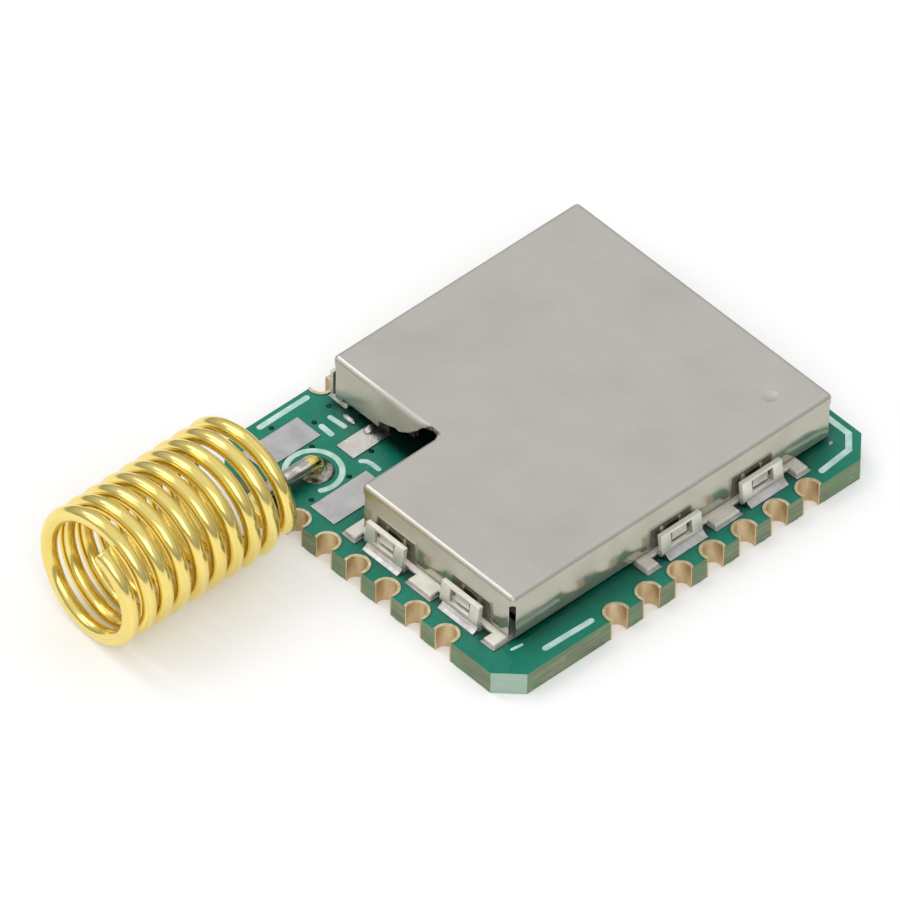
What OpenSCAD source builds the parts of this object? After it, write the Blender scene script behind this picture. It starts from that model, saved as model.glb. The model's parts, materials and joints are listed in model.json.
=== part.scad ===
// Radio module on a castellated circuit board, with a folded L-shaped shield can held in
// spring clips and a coiled wire antenna that overhangs the board's left edge.
// Millimetres. The origin is the centre of the board's underside, +Z is up, +X points away
// from the antenna, and the front edge is on the -Y side.

/* [Board] */
// Length of the board along X
board_l = 14.7; // [14.2:0.1:16]
// Width of the board along Y
board_w = 12.9; // [12.5:0.1:14]
// Thickness of the board
board_t = 0.8; // [0.6:0.1:1.2]
// Leg of the cut at each corner of the board
board_chamfer = 0.75; // [0.3:0.05:1]
// Thickness of the copper lands on both faces
land_t = 0.03; // [0.02:0.01:0.06]

/* [Castellations] */
// Spacing of the half-holes
cast_pitch = 1.27; // [1.15:0.01:1.35]
// Radius of a finished half-hole
cast_r = 0.32; // [0.25:0.01:0.36]
// Distance of a half-hole's centre from the board's edge
cast_inset = 0.125; // [0:0.005:0.15]
// Thickness of the plating inside holes
plating_t = 0.04; // [0.02:0.01:0.06]
// Width of the copper rim around a half-hole on the upper face
cast_rim = 0.1; // [0.06:0.01:0.14]
// Width of the copper rim around a half-hole on the underside
cast_foot = 0.2; // [0.1:0.01:0.24]
// Half-holes along the front edge, and as many along the back edge
cast_long_n = 7; // [3:1:8]
// Half-holes along the left edge
cast_left_n = 6; // [3:1:7]
// Middle of the front and back rows along X
cast_long_mid = 0.83; // [0:0.01:1.2]
// Middle of the left row along Y
cast_left_mid = -0.5; // [-0.8:0.01:0.2]

/* [Shield can] */
// Thickness of the folded sheet
can_t = 0.15; // [0.12:0.01:0.2]
// Height of the can's top above the board
can_h = 1.75; // [1.5:0.05:2.4]
// Size along X of the notch that leaves the antenna feed open
notch_l = 2.97; // [2.6:0.01:3.1]
// Size along Y of that notch
notch_w = 4.485; // [4.3:0.005:4.6]
// Width of the slit in each folded corner
slit_w = 0.2; // [0.1:0.01:0.25]
// Depth of closed metal above each slit
slit_drop = 0.3; // [0.25:0.01:0.5]
// Length of the bend relief beside the notch's inner corner
relief_l = 0.95; // [0.6:0.05:1.2]
// Height above the board of the feed wall's lower edge
feed_gap = 0.3; // [0.2:0.01:0.5]
// Length of plain wall beside the feed gap, at the can's left corner
feed_leg = 0.45; // [0.3:0.05:0.6]
// Height above the board of the arch over the feed line
arch_h = 0.95; // [0.85:0.01:1.1]
// Length of the arch from the notch's inner corner
arch_l = 2.5; // [2.3:0.05:2.8]
// Radius of the arch's rounded end
arch_r = 0.35; // [0.1:0.01:0.4]
// Depth of the index dimple in the can's top
dimple_h = 0.03; // [0.01:0.01:0.06]
// Radius of the index dimple
dimple_r = 0.25; // [0.15:0.01:0.4]
// Distance of the index dimple from the can's right wall
dimple_x = 1.43; // [0.8:0.01:2]
// Distance of the index dimple from the can's front wall
dimple_y = 1.16; // [0.8:0.01:2]

/* [Shield clips] */
// Thickness of the clip's sheet
clip_t = 0.12; // [0.1:0.01:0.16]
// Reach of the clip's tabs outside the can's wall
clip_reach = 0.52; // [0.48:0.01:0.56]
// Reach of the clip's base inside the can's wall
clip_inner = 0.45; // [0.42:0.01:0.5]
// Length of a spring loop
loop_l = 1.64; // [1.4:0.01:1.8]
// Height of a spring loop, from the underside of the clip
loop_h = 0.98; // [0.8:0.01:1.1]
// Distance from the can's wall to the outer face of a loop
loop_off = 0.4; // [0.36:0.01:0.44]
// Inner radius of a loop's lower bend
loop_bend = 0.1; // [0.06:0.01:0.12]
// Inner radius of a loop's upper bend
loop_crown = 0.06; // [0.04:0.01:0.08]
// Clearance between a loop's lip and the can's wall
clip_gap = 0.02; // [0.01:0.01:0.04]
// Length of the window in a loop
window_l = 0.82; // [0.5:0.01:1]
// Height of the band of metal above a window
window_band = 0.24; // [0.2:0.01:0.3]
// Length of the clip's middle tab
mid_tab = 0.96; // [0.6:0.01:1.2]
// Length of an end tab
end_tab = 0.45; // [0.3:0.01:0.6]
// Gap between a tab and the next loop
tab_gap = 0.31; // [0.2:0.01:0.35]
// Length of the inner loop
inner_loop_l = 1.5; // [1:0.01:1.6]
// Middle of the front clip along X
front_clip_x = 1.95; // [1.5:0.01:2.4]
// Distance of the back clip from the notch's corner
back_start = 0.05; // [0.02:0.01:0.5]
// Reach of the left clip past the notch's corner
tab_past = 0.12; // [0.05:0.01:0.2]
// Middle of the right clip along Y
right_clip_y = 0.1; // [-1:0.01:1]

/* [Clip lands] */
// Land that shows beyond a clip's ends
land_rim = 0.06; // [0.03:0.01:0.1]
// Land that shows outside the front and left clips
land_out = 0.1; // [0.05:0.01:0.15]
// Land that shows outside the back and right clips
land_tuck = 0.02; // [0.01:0.01:0.03]
// Height of the solder in front of a loop
fillet_h = 0.14; // [0.08:0.01:0.18]
// Length of the solder in front of a loop
fillet_l = 1.5; // [1:0.01:1.6]
// Bare board between the front castellations and the clip
lane_front = 0.15; // [0.12:0.01:0.3]
// Bare board between the left castellations and the clip
lane_left = 0.2; // [0.12:0.01:0.3]
// Bare board between the back castellations and the clip
lane_back = 0.08; // [0.04:0.01:0.2]
// Bare board between the board's right edge and the clip
lane_right = 0.22; // [0.1:0.01:0.4]

/* [Antenna feed] */
// Distance of the antenna hole from the board's left edge
feed_x = 1.85; // [1.8:0.01:2]
// Clearance between the antenna's lead and its plated hole
feed_clear = 0.06; // [0.04:0.01:0.1]
// Width of the copper ring around the antenna hole
feed_rim = 0.2; // [0.15:0.01:0.26]
// Height of the solder joint on the lead
feed_solder = 0.1; // [0.05:0.01:0.11]
// Length of a ground pad of the coaxial footprint
pad_l = 2.2; // [2:0.05:2.3]
// Width of a ground pad
pad_w = 1.02; // [0.9:0.01:1.05]
// Gap between the two ground pads
pad_gap = 1.96; // [1.9:0.01:2.05]
// Distance of the ground pads from the board's left edge
pad_x = 0.74; // [0.6:0.01:0.8]
// Length of the signal pad
signal_l = 1.75; // [1.6:0.01:1.8]
// Width of the signal pad
signal_w = 0.74; // [0.6:0.01:0.8]
// Bare board between the left clip's land and the nearer ground pad
pad_clear = 0.4; // [0.3:0.01:0.5]
// Gap between the ground pads' inner ends and the signal pad, along X
signal_gap = 0.06; // [0.04:0.01:0.1]

/* [Antenna] */
// Diameter of the wire
wire_d = 0.5; // [0.42:0.01:0.52]
// Radius of the coil to the middle of the wire
coil_r = 1.94; // [1.85:0.01:2.2]
// Advance of the coil in one turn
coil_pitch = 0.67; // [0.6:0.01:0.8]
// Full turns of the coil
coil_n = 9; // [4:1:11]
// Angle of the free end past the last full turn
coil_tail = 65; // [20:5:160]
// Distance of the coil's lowest point above the board's underside
coil_lift = 0.01; // [0:0.01:0.3]
// Distance of the coil's axis behind the antenna hole
coil_shift = 0.1; // [0:0.01:0.3]
// Distance of the coil's last turn from the board's left edge
coil_off = 1.04; // [0.8:0.01:1.2]
// Height of the antenna's lead above the board
lead_h = 0.45; // [0.44:0.01:0.55]
// Bend radius where the lead turns towards the board
lead_bend = 0.42; // [0.3:0.01:0.6]
// Bend radius where the lead turns down into its hole
drop_bend = 0.3; // [0.28:0.01:0.32]
// Distance of the lead's cut end above the board's underside
lead_end = 0.05; // [0.02:0.01:0.1]

/* [Parts under the can] */
// Bare board around each part, and between the parts and the clips
part_gap = 0.25; // [0.15:0.05:0.4]
// Side of the radio chip
chip_w = 5; // [4:0.1:6]
// Height of the radio chip
chip_h = 0.6; // [0.4:0.05:0.9]
// Side of the antenna switch
switch_w = 2; // [1.5:0.1:2.5]
// Height of the antenna switch
switch_h = 0.75; // [0.5:0.05:0.9]
// Length of the harmonic filter
filter_l = 2; // [1.6:0.1:2.5]
// Width of the harmonic filter
filter_w = 1.25; // [0.8:0.05:1.6]
// Height of the harmonic filter
filter_h = 0.9; // [0.6:0.05:0.95]
// Length of the reference oscillator
oscillator_l = 2; // [1.6:0.1:2.5]
// Width of the reference oscillator
oscillator_w = 1.6; // [1.2:0.1:2]
// Height of the reference oscillator
oscillator_h = 0.8; // [0.6:0.05:0.95]
// Length of the clock crystal
crystal_l = 1.6; // [1.2:0.1:2]
// Width of the clock crystal
crystal_w = 1; // [0.8:0.1:1.2]
// Height of the clock crystal
crystal_h = 0.5; // [0.4:0.05:0.8]
// Length of the small chip parts
small_l = 1; // [0.6:0.05:1]
// Width of the small chip parts
small_w = 0.5; // [0.3:0.05:0.5]
// Height of the small chip parts
small_h = 0.5; // [0.25:0.05:0.55]

/* [Hidden] */
$fn = 48;
// Overlap of cutting tools beyond the faces that they cut
eps = 0.05;

// Edges of the board
edge_x = board_l / 2;
edge_y = board_w / 2;
// Levels of the board's upper face, of its lands and of the clips' bases
board_top = board_t;
land_top = board_top + land_t;
clip_top = land_top + clip_t;
// Radii of the castellations, from the drilled hole outwards
cast_drill = cast_r + plating_t;
cast_ring = cast_r + cast_rim;
cast_pad = cast_r + cast_foot;

// Reach of the back clip's lip, which stays clear of the back castellations
back_reach = clip_gap + clip_t;
// Outer faces of the can's walls
can_x0 = -edge_x + cast_inset + cast_ring + lane_left + clip_reach;
can_x1 = edge_x - lane_right - clip_reach;
can_y0 = -edge_y + cast_inset + cast_ring + lane_front + clip_reach;
can_y1 = edge_y - cast_inset - cast_ring - lane_back - back_reach;
notch_x = can_x0 + notch_l;
notch_y = can_y1 - notch_w;
can_bottom = clip_top;
can_top = board_top + can_h;
can_bend = can_top - can_t;
// Inner faces of the can's walls
in_x0 = can_x0 + can_t;
in_x1 = can_x1 - can_t;
in_y0 = can_y0 + can_t;
in_y1 = can_y1 - can_t;
in_notch_x = notch_x + can_t;
in_notch_y = notch_y - can_t;
// Convex corners of the can on its inner faces, each with the turn of its first wall
CAN_CORNERS = [
    [in_x0, in_y0, 180], [in_x1, in_y0, 270], [in_x1, in_y1, 0],
    [in_notch_x, in_y1, 90], [in_x0, in_notch_y, 90]
];

// Clip lengths, with and without end tabs
clip_long = mid_tab + 4 * tab_gap + 2 * loop_l + 2 * end_tab;
clip_short = mid_tab + 2 * tab_gap + 2 * loop_l;
// Middle of an outer loop from the middle of its clip
loop_mid = mid_tab / 2 + tab_gap + loop_l / 2;
// Middle of the left clip along Y, with one end tab past the notch's corner
left_clip_y = notch_y + tab_past - clip_long / 2;
// Middle of the back clip along X, from the notch's corner
back_clip_x = notch_x + back_start + clip_short / 2;

// Antenna hole, its plating and its copper ring
hole_x = -edge_x + feed_x;
hole_y = notch_y + tab_past + land_rim + pad_clear + pad_w + pad_gap / 2;
wire_r = wire_d / 2;
hole_r = wire_r + feed_clear;
hole_drill = hole_r + plating_t;
hole_ring = hole_drill + feed_rim;
// Lead and coil
lead_z = board_top + lead_h;
coil_y = hole_y + coil_shift;
coil_z = coil_r + wire_r + coil_lift;
coil_tilt = asin(coil_pitch / 4 / coil_r);
coil_reach = coil_r * cos(coil_tilt);
coil_end_x = -edge_x - coil_off;
pigtail_r = coil_z - lead_z;
pigtail_y = coil_y - coil_reach + pigtail_r;
// Sleeves that join the lengths of wire: outer radius, length and the gap that each bridges
sleeve_r = wire_r + 0.004;
sleeve_l = 0.03;
sleeve_gap = 0.004;

// Room for parts between the clips' bases under the can
room_x0 = can_x0 + can_t + clip_inner + part_gap;
room_x1 = can_x1 - can_t - clip_inner - part_gap;
room_y0 = can_y0 + can_t + clip_inner + part_gap;
// Sizes of the packages: length, width, height
SWITCH = [switch_w, switch_w, switch_h];
FILTER = [filter_l, filter_w, filter_h];
OSCILLATOR = [oscillator_l, oscillator_w, oscillator_h];
CRYSTAL = [crystal_l, crystal_w, crystal_h];
// Middle of the radio chip, in the corner between the front and right clips
chip_x = room_x1 - chip_w / 2;
chip_y = room_y0 + chip_w / 2;
// Spacing of the small parts along and across their length
small_run = small_l + part_gap;
small_step = small_w + part_gap;
// Rows behind the chip, and the column beside it
row_y = room_y0 + chip_w + part_gap;
far_row_y = row_y + max(oscillator_w, crystal_w, small_w + small_step) + part_gap;
oscillator_x = room_x1 - small_run - oscillator_l / 2;
crystal_x = oscillator_x - oscillator_l / 2 - part_gap - crystal_l / 2;
column_x = room_x1 - chip_w - part_gap - small_l / 2;
// Middles of the packages under the can
FILTER_AT = [room_x0 + filter_l / 2, room_y0 + filter_w / 2];
SWITCH_AT = [room_x0 + switch_w / 2, room_y0 + filter_w + part_gap + switch_w / 2];
OSCILLATOR_AT = [oscillator_x, row_y + oscillator_w / 2];
CRYSTAL_AT = [crystal_x, row_y + crystal_w / 2];
FEED_CAP_AT = [-edge_x + pad_x + pad_l + signal_gap + signal_l + small_l / 4, hole_y];
RESISTORS_AT = [for (j = [0:1]) [room_x1 - small_l / 2, row_y + small_w / 2 + j * small_step]];
INDUCTORS_AT = [for (j = [0:2]) [column_x, room_y0 + small_w / 2 + j * small_step]];
CAPACITORS_AT = [
    for (i = [0:1]) for (j = [0:1])
        [room_x1 - small_l / 2 - i * small_run, far_row_y + small_w / 2 + j * small_step]
];
SMALL_AT = concat(INDUCTORS_AT, CAPACITORS_AT, RESISTORS_AT);

// Positions of a row of n half-holes about its middle
function row(n, mid) = [for (i = [0:n - 1]) mid + (i - (n - 1) / 2) * cast_pitch];

// Moves children to each half-hole of a row, with +Y pointing into the board
module front_row() {
    for (x = row(cast_long_n, cast_long_mid)) translate([x, -edge_y, 0]) children();
}
module back_row() {
    for (x = row(cast_long_n, cast_long_mid)) translate([x, edge_y, 0]) rotate(180) children();
}
module left_row() {
    for (y = row(cast_left_n, cast_left_mid)) translate([-edge_x, y, 0]) rotate(-90) children();
}

// Board

module board_outline() {
    c = board_chamfer;
    polygon([
        [-edge_x + c, -edge_y], [edge_x - c, -edge_y], [edge_x, -edge_y + c], [edge_x, edge_y - c],
        [edge_x - c, edge_y], [-edge_x + c, edge_y], [-edge_x, edge_y - c], [-edge_x, -edge_y + c]
    ]);
}

// Room for one castellation: the drilled hole and the sunken rim underneath
module castellation_room() {
    translate([0, cast_inset, -eps]) cylinder(r = cast_drill, h = board_t + 2 * eps);
    translate([0, cast_inset, -eps]) cylinder(r = cast_pad, h = land_t + eps);
}

// Room for the antenna's plated hole
module via_room() {
    translate([hole_x, hole_y, -eps]) cylinder(r = hole_drill, h = board_t + 2 * eps);
    translate([hole_x, hole_y, -eps]) cylinder(r = hole_ring, h = land_t + eps);
}

module circuit_board() {
    color([0.1, 0.43, 0.33])
    difference() {
        linear_extrude(board_t) board_outline();
        front_row() castellation_room();
        back_row() castellation_room();
        left_row() castellation_room();
        via_room();
    }
}

// Section of a plated hole: barrel, upper rim and a lower rim flush with the underside
module eyelet_section(bore, drill, upper, lower) {
    polygon([
        [bore, 0], [lower, 0], [lower, land_t], [drill, land_t], [drill, board_top],
        [upper, board_top], [upper, land_top], [bore, land_top]
    ]);
}

// Plated hole cut off at the board's edge
module castellation() {
    reach = cast_inset + cast_pad + eps;
    intersection() {
        translate([0, cast_inset, 0])
            rotate_extrude() eyelet_section(cast_r, cast_drill, cast_ring, cast_pad);
        translate([-reach, 0, -eps]) cube([2 * reach, reach, land_top + 2 * eps]);
    }
}

module front_castellations() {
    color([0.8, 0.72, 0.55]) front_row() castellation();
}

module left_castellations() {
    color([0.8, 0.72, 0.55]) left_row() castellation();
}

module back_castellations() {
    color([0.8, 0.72, 0.55]) back_row() castellation();
}

// Antenna feed

module coax_ground_pads() {
    color([0.75, 0.73, 0.75])
    for (side = [-1, 1])
        translate([-edge_x + pad_x, hole_y + side * (pad_gap + pad_w) / 2 - pad_w / 2, board_top])
            cube([pad_l, pad_w, land_t]);
}

module coax_signal_pad() {
    color([0.75, 0.73, 0.75])
    translate([-edge_x + pad_x + pad_l + signal_gap, hole_y - signal_w / 2, board_top])
        cube([signal_l, signal_w, land_t]);
}

module antenna_via() {
    color([0.75, 0.73, 0.75])
    translate([hole_x, hole_y, 0])
        rotate_extrude() eyelet_section(hole_r, hole_drill, hole_ring, hole_ring);
}

// Solder that fills the hole around the lead and rises to it in a hollow cone
module antenna_solder() {
    width = hole_ring - sleeve_r;
    color([0.78, 0.77, 0.76])
    translate([hole_x, hole_y, 0])
    rotate_extrude() {
        translate([sleeve_r, 0]) square([hole_r - sleeve_r, land_top]);
        translate([sleeve_r, land_top])
            polygon([[0, 0], [width, 0], [width * 0.3, feed_solder * 0.35], [0, feed_solder]]);
    }
}

// Antenna

// Arc of wire about +Z, from +X through the given angle, a hair short at both ends
module wire_arc(radius, angle) {
    trim = sleeve_gap / radius * 180 / PI;
    rotate(trim) rotate_extrude(angle = angle - 2 * trim) translate([radius, 0]) circle(d = wire_d);
}

// Straight length of wire along +Z
module wire_run(length) {
    cylinder(d = wire_d, h = length);
}

// Thin sleeve along +Z that joins two lengths of wire
module sleeve() {
    cylinder(r = sleeve_r, h = sleeve_l, center = true);
}

// Arc of the given angle over the coil, from the near side towards the far side
module upper_arc(angle) {
    rotate([0, 0, coil_tilt]) rotate([90, 0, 90]) rotate(180 - angle) wire_arc(coil_r, angle);
}

// Half a turn under the coil, from the far side to the near side
module lower_half() {
    rotate([0, 0, -coil_tilt]) rotate([-90, 0, 90]) wire_arc(coil_r, 180);
}

// Pigtail that leaves the last turn, bends towards the board and drops into the hole
module pigtail() {
    bend_y = hole_y - lead_bend;
    bend_x = coil_end_x + lead_bend;
    drop_x = hole_x - drop_bend;
    drop_z = lead_z - drop_bend;
    translate([coil_end_x, pigtail_y, coil_z]) rotate([90, 0, 90]) rotate(180) wire_arc(pigtail_r, 90);
    translate([coil_end_x, pigtail_y, lead_z]) rotate([-90, 0, 0]) sleeve();
    translate([coil_end_x, pigtail_y, lead_z]) rotate([-90, 0, 0]) wire_run(bend_y - pigtail_y);
    translate([coil_end_x, bend_y, lead_z]) rotate([-90, 0, 0]) sleeve();
    translate([bend_x, bend_y, lead_z]) rotate(90) wire_arc(lead_bend, 90);
    translate([bend_x, hole_y, lead_z]) rotate([0, 90, 0]) sleeve();
    translate([bend_x, hole_y, lead_z]) rotate([0, 90, 0]) wire_run(drop_x - bend_x);
    translate([drop_x, hole_y, lead_z]) rotate([0, 90, 0]) sleeve();
    translate([drop_x, hole_y, drop_z]) rotate([90, 0, 0]) wire_arc(drop_bend, 90);
    translate([hole_x, hole_y, drop_z]) sleeve();
    translate([hole_x, hole_y, lead_end]) wire_run(drop_z - lead_end);
}

module helical_antenna() {
    color([0.86, 0.72, 0.31]) {
        for (i = [0:coil_n - 1]) {
            translate([coil_end_x - (i + 0.25) * coil_pitch, coil_y, coil_z]) upper_arc(180);
            translate([coil_end_x - (i + 0.5) * coil_pitch, coil_y + coil_reach, coil_z]) sleeve();
            translate([coil_end_x - (i + 0.75) * coil_pitch, coil_y, coil_z]) lower_half();
        }
        for (i = [0:coil_n])
            translate([coil_end_x - i * coil_pitch, coil_y - coil_reach, coil_z]) sleeve();
        translate([coil_end_x - (coil_n + 0.25) * coil_pitch, coil_y, coil_z]) upper_arc(coil_tail);
        pigtail();
    }
}

// Shield can

// Section of a folded edge from the top's inner corner: the wall and a quarter-round bend
module fold_section() {
    wall_h = can_bend - can_bottom;
    translate([0, -wall_h]) square([can_t, wall_h]);
    intersection() {
        circle(can_t);
        square(can_t);
    }
}

// Straight folded wall that starts at a point of the inner plan and faces right of its run
module folded_wall(from, turn, length) {
    translate([from[0], from[1], can_bend]) rotate(turn)
        rotate([90, 0, 90]) linear_extrude(length) mirror([1, 0]) fold_section();
}

// Flat top between the bends
module can_plate() {
    translate([0, 0, can_bend]) linear_extrude(can_t) polygon([
        [in_x0, in_y0], [in_x1, in_y0], [in_x1, in_y1],
        [in_notch_x, in_y1], [in_notch_x, in_notch_y], [in_x0, in_notch_y]
    ]);
}

// Walls and rounded corners around the plate, with the relief left open in the notch
module can_shell() {
    can_plate();
    folded_wall([in_x0, in_y0], 0, in_x1 - in_x0);
    folded_wall([in_x1, in_y0], 90, in_y1 - in_y0);
    folded_wall([in_x1, in_y1], 180, in_x1 - in_notch_x);
    folded_wall([in_notch_x, in_y1], 270, in_y1 - notch_y - relief_l);
    folded_wall([in_notch_x, in_notch_y], 180, in_notch_x - in_x0);
    folded_wall([in_x0, in_notch_y], 270, in_notch_y - in_y0);
    for (c = CAN_CORNERS)
        translate([c[0], c[1], can_bend]) rotate(c[2]) rotate_extrude(angle = 90) fold_section();
}

// Slit with a round upper end, through one folded corner along its diagonal
module corner_slit(corner) {
    depth = 3 * can_t;
    height = can_top - slit_drop - slit_w / 2 - can_bottom;
    translate([corner[0], corner[1], can_bottom]) rotate(corner[2] + 45) translate([-can_t, 0, 0]) {
        translate([0, -slit_w / 2, -eps]) cube([depth, slit_w, height + eps]);
        translate([0, 0, height]) rotate([0, 90, 0]) cylinder(d = slit_w, h = depth);
    }
}

// Opening under the wall beside the antenna feed: a low gap and an arch over the feed line
module feed_opening() {
    cut_x = notch_x - can_t;
    cut_w = 3 * can_t;
    gap_z = board_top + feed_gap;
    arch_z = board_top + arch_h;
    translate([cut_x, notch_y, can_bottom - eps])
        cube([cut_w, notch_w - feed_leg, gap_z - can_bottom + eps]);
    translate([cut_x, 0, 0]) rotate([90, 0, 90]) linear_extrude(cut_w) {
        translate([notch_y, can_bottom - eps])
            square([arch_l - arch_r, arch_z - can_bottom + eps]);
        translate([notch_y, can_bottom - eps])
            square([arch_l, arch_z - arch_r - can_bottom + eps]);
        translate([notch_y + arch_l - arch_r, arch_z - arch_r]) circle(arch_r);
    }
}

// Shallow spherical dimple that marks the can's index corner
module index_dimple() {
    ball_r = (dimple_r * dimple_r + dimple_h * dimple_h) / (2 * dimple_h);
    translate([can_x1 - dimple_x, can_y0 + dimple_y, can_top - dimple_h + ball_r]) sphere(ball_r);
}

module shield_can() {
    color([0.73, 0.71, 0.68])
    difference() {
        can_shell();
        for (c = CAN_CORNERS) corner_slit(c);
        feed_opening();
        index_dimple();
    }
}

// Shield clips, drawn along +X with the can's outer face at y = 0 and the outside on the -Y side

// Section of a spring loop: base, lower bend, upright, crown and lip
module loop_section() {
    upright = loop_off - clip_t;
    crown_x = upright - loop_crown;
    crown_y = loop_h - clip_t - loop_crown;
    bend_x = upright - loop_bend;
    bend_y = clip_t + loop_bend;
    square([bend_x, clip_t]);
    translate([bend_x, bend_y]) quarter_ring(loop_bend, loop_bend + clip_t, 270);
    translate([upright, bend_y]) square([clip_t, crown_y - bend_y]);
    translate([crown_x, crown_y]) quarter_ring(loop_crown, loop_crown + clip_t, 0);
    translate([clip_gap, loop_h - clip_t]) square([crown_x - clip_gap, clip_t]);
}

module quarter_ring(inner, outer, turn) {
    rotate(turn) intersection() {
        difference() {
            circle(outer);
            circle(inner);
        }
        square(outer);
    }
}

// Spring loop with its window, centred on x = 0
module spring_loop(length) {
    window_z = clip_t + loop_bend;
    window_h = loop_h - window_band - window_z;
    difference() {
        translate([length / 2, 0, 0]) rotate([90, 0, -90]) linear_extrude(length) loop_section();
        translate([-window_l / 2, -loop_off - eps, window_z])
            cube([window_l, clip_t + 2 * eps, window_h]);
    }
}

// Rectangle of a clip's plan between two lines across it and out to a given reach
module plan_strip(x0, x1, inside, outside) {
    translate([x0, -outside]) square([x1 - x0, outside + inside]);
}

// Plan of a clip's base: a spine under the wall and tabs on the outside
module clip_plan(grow, out) {
    half = clip_long / 2 + grow;
    reach = clip_reach + out;
    inside = can_t + clip_inner;
    spine = loop_off - clip_t - loop_bend;
    plan_strip(-half, half, inside, spine);
    plan_strip(-mid_tab / 2 - grow, mid_tab / 2 + grow, inside, reach);
    plan_strip(-half, -half + end_tab + 2 * grow, inside, reach);
    plan_strip(half - end_tab - 2 * grow, half, inside, reach);
}

module clip() {
    linear_extrude(clip_t) clip_plan(0, 0);
    for (side = [-1, 1]) translate([side * loop_mid, 0, 0]) spring_loop(loop_l);
    translate([0, can_t, 0]) mirror([0, 1, 0]) spring_loop(inner_loop_l);
}

// Channel clip for the back wall: a plain lip outside and loops on the inside only
module channel_clip(length) {
    translate([-length / 2, -back_reach, 0]) cube([length, back_reach + can_t + clip_inner, clip_t]);
    translate([-length / 2, -back_reach, 0]) cube([length, clip_t, loop_h]);
    for (side = [-1, 1])
        translate([side * length / 4, can_t, 0]) mirror([0, 1, 0]) spring_loop(inner_loop_l);
}

// Hollow solder fillet in front of one loop
module loop_fillet(out) {
    foot = clip_reach + out - loop_off;
    translate([fillet_l / 2, 0, 0]) rotate([90, 0, -90]) linear_extrude(fillet_l)
        translate([loop_off, 0])
            polygon([[0, 0], [foot, 0], [foot * 0.45, fillet_h * 0.4], [0, fillet_h]]);
}

module clip_land(out, soldered) {
    linear_extrude(land_t) {
        clip_plan(land_rim, out);
        for (side = [-1, 1]) translate([side * loop_mid, 0])
            plan_strip(-fillet_l / 2, fillet_l / 2, 0, clip_reach + out);
    }
    if (soldered)
        for (side = [-1, 1]) translate([side * loop_mid, 0, land_t]) loop_fillet(out);
}

// Places children against the can's walls
module on_front(level) {
    translate([front_clip_x, can_y0, level]) children();
}
module on_left(level) {
    translate([can_x0, left_clip_y, level]) rotate(-90) children();
}
module on_back(level) {
    translate([back_clip_x, can_y1, level]) rotate(180) children();
}
module on_right(level) {
    translate([can_x1, right_clip_y, level]) rotate(90) children();
}

module front_clip() {
    color([0.84, 0.82, 0.79]) on_front(land_top) clip();
}

module left_clip() {
    color([0.84, 0.82, 0.79]) on_left(land_top) clip();
}

module back_clip() {
    color([0.84, 0.82, 0.79]) on_back(land_top) channel_clip(clip_short);
}

module right_clip() {
    color([0.84, 0.82, 0.79]) on_right(land_top) clip();
}

module front_clip_land() {
    color([0.78, 0.77, 0.76]) on_front(board_top) clip_land(land_out, true);
}

module left_clip_land() {
    color([0.78, 0.77, 0.76]) on_left(board_top) clip_land(land_out, true);
}

module back_clip_land() {
    half = clip_short / 2 + land_rim;
    color([0.78, 0.77, 0.76]) on_back(board_top) linear_extrude(land_t)
        plan_strip(-half, half, can_t + clip_inner, back_reach + land_tuck);
}

module right_clip_land() {
    color([0.78, 0.77, 0.76]) on_right(board_top) clip_land(land_tuck, false);
}

// Parts under the can

// Block that stands on the lands at the given middle
module package(at, size) {
    translate([at[0] - size[0] / 2, at[1] - size[1] / 2, land_top]) cube(size);
}

// Two lands under the ends of a package, each a quarter of its length
module end_lands(at, size) {
    land_l = size[0] / 4;
    for (side = [-1, 1])
        translate([at[0] + side * (size[0] - land_l) / 2 - land_l / 2, at[1] - size[1] / 2, board_top])
            cube([land_l, size[1], land_t]);
}

// Chip part: a body between two slightly taller end caps
module small_part(at) {
    cap_l = small_l / 4;
    trim = 0.02;
    package(at, [small_l, small_w - 2 * trim, small_h - trim]);
    for (side = [-1, 1])
        package([at[0] + side * (small_l - cap_l) / 2, at[1]], [cap_l, small_w, small_h]);
}

module component_lands() {
    size = [small_l, small_w, small_h];
    chip_land = chip_w * 0.78;
    color([0.78, 0.77, 0.76]) {
        for (at = SMALL_AT) end_lands(at, size);
        end_lands(SWITCH_AT, SWITCH);
        end_lands(FILTER_AT, FILTER);
        end_lands(OSCILLATOR_AT, OSCILLATOR);
        end_lands(CRYSTAL_AT, CRYSTAL);
        translate([chip_x - chip_land / 2, chip_y - chip_land / 2, board_top])
            cube([chip_land, chip_land, land_t]);
        translate([FEED_CAP_AT[0] + small_l / 4, FEED_CAP_AT[1] - small_w / 2, board_top])
            cube([small_l / 4, small_w, land_t]);
    }
}

module radio_chip() {
    mark_r = 0.25;
    mark_in = 0.5;
    mark_h = 0.05;
    color([0.12, 0.12, 0.13])
    difference() {
        package([chip_x, chip_y], [chip_w, chip_w, chip_h]);
        translate([chip_x, chip_y, land_top + chip_h - mark_h])
            translate([mark_in - chip_w / 2, chip_w / 2 - mark_in, 0])
                cylinder(r = mark_r, h = mark_h + eps);
    }
}

module rf_switch() {
    color([0.14, 0.14, 0.15]) package(SWITCH_AT, SWITCH);
}

module harmonic_filter() {
    color([0.86, 0.84, 0.78]) package(FILTER_AT, FILTER);
}

// Metal-lidded package: a ceramic base with a narrower lid
module lidded(at, size) {
    lid_h = size[2] * 0.3;
    rim = 0.1;
    package(at, [size[0], size[1], size[2] - lid_h]);
    package(at, [size[0] - 2 * rim, size[1] - 2 * rim, size[2]]);
}

module reference_oscillator() {
    color([0.8, 0.74, 0.55]) lidded(OSCILLATOR_AT, OSCILLATOR);
}

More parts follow.
